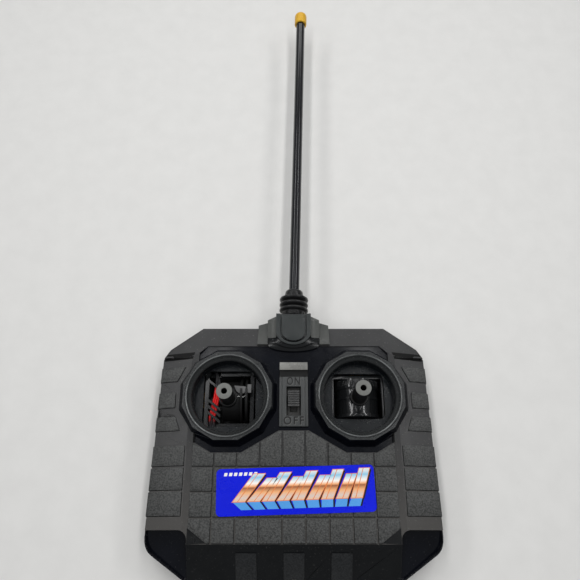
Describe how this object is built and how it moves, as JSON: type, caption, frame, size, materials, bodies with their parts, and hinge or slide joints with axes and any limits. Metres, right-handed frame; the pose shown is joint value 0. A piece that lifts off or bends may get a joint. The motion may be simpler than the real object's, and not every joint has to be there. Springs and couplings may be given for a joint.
{
  "type": "radio transmitter controller",
  "caption": "Hand-held radio-control transmitter with tilting stick stalks in ringed bowls, a slide power switch and a whip antenna on a rubber boot.",
  "frame": {"origin": "middle of the flat back face that the case lies on", "axes": "+Z out of the control face, +Y towards the antenna, +X to the right of a person facing the control face"},
  "size_m": [0.164, 0.401, 0.0532],
  "materials": {
    "case_plastic": "satin black moulded plastic with spark-eroded pads and gloss black recesses",
    "housing_plastic": "satin dark grey moulded plastic",
    "gloss_black_plastic": "gloss black plastic",
    "stick_plastic": "satin dark grey plastic",
    "boot_rubber": "moulded black rubber",
    "rod_plastic": "gloss black plastic sleeve",
    "cap_plastic": "satin amber yellow plastic",
    "label_film": "printed glossy blue film",
    "steel": "plated steel",
    "brass": "brass",
    "board": "phenolic circuit board",
    "component_black": "moulded epoxy",
    "capacitor_sleeve": "printed sleeve",
    "resistor_body": "painted ceramic",
    "battery_case": "printed steel jacket",
    "lead_red": "vinyl insulation",
    "lead_black": "vinyl insulation"
  },
  "bodies": {
    "case": {"front_shell": "case_plastic", "rear_shell": "case_plastic", "switch_plate": "case_plastic", "antenna_housing": "housing_plastic", "label_sticker": "label_film", "throttle_cradle": "gloss_black_plastic", "steering_cradle": "gloss_black_plastic", "power_switch_body": "steel", "throttle_return_spring": "steel", "steering_return_spring": "steel", "quartz_crystal": "steel", "tuning_coil_a": "steel", "tuning_coil_b": "steel", "case_screw_1": "steel", "case_screw_2": "steel", "case_screw_3": "steel", "case_screw_4": "steel", "case_screw_5": "steel", "case_screw_6": "steel", "board_screw_1": "steel", "board_screw_2": "steel", "antenna_boot": "boot_rubber", "antenna_stud": "brass", "throttle_contact_board": "board", "steering_contact_board": "board", "main_circuit_board": "board", "battery_9v": "battery_case", "battery_snap": "component_black", "encoder_chip": "component_black", "output_transistor": "component_black", "capacitor_large": "capacitor_sleeve", "capacitor_small": "capacitor_sleeve", "resistor_1": "resistor_body", "resistor_2": "resistor_body", "resistor_3": "resistor_body", "battery_lead_red": "lead_red", "throttle_lead_red": "lead_red", "battery_lead_black": "lead_black", "antenna_lead": "lead_black"},
    "throttle": {"throttle_stick": "stick_plastic", "throttle_wiper": "brass"},
    "steering": {"steering_stick": "stick_plastic", "steering_wiper": "brass"},
    "switch_knob": {"power_switch_knob": "gloss_black_plastic"},
    "antenna": {"antenna_rod": "rod_plastic", "antenna_core_wire": "steel", "antenna_tip_cap": "cap_plastic"},
    "door": {"battery_door": "case_plastic"}
  },
  "joints": [
    {"name": "throttle_tilt", "type": "hinge", "parent": "case", "child": "throttle", "pos_m": [-0.0377, 0.0267, 0.018], "axis": [1, 0, 0], "range_deg": [-22, 22], "stiffness_Nm_per_rad": 0.05},
    {"name": "steering_tilt", "type": "hinge", "parent": "case", "child": "steering", "pos_m": [0.0377, 0.0267, 0.018], "axis": [0, 1, 0], "range_deg": [-22, 22], "stiffness_Nm_per_rad": 0.05},
    {"name": "power_switch_slide", "type": "slide", "parent": "case", "child": "switch_knob", "axis": [0, -1, 0], "range_m": [0, 0.0045]},
    {"name": "antenna_flex", "type": "hinge", "parent": "case", "child": "antenna", "pos_m": [0, 0.085, 0.026], "axis": [1, 0, 0], "range_deg": [-25, 25], "stiffness_Nm_per_rad": 3, "deforming": ["antenna_boot"]},
    {"name": "battery_door_slide", "type": "slide", "parent": "case", "child": "door", "axis": [0, -1, 0], "range_m": [0, 0.012]}
  ]
}
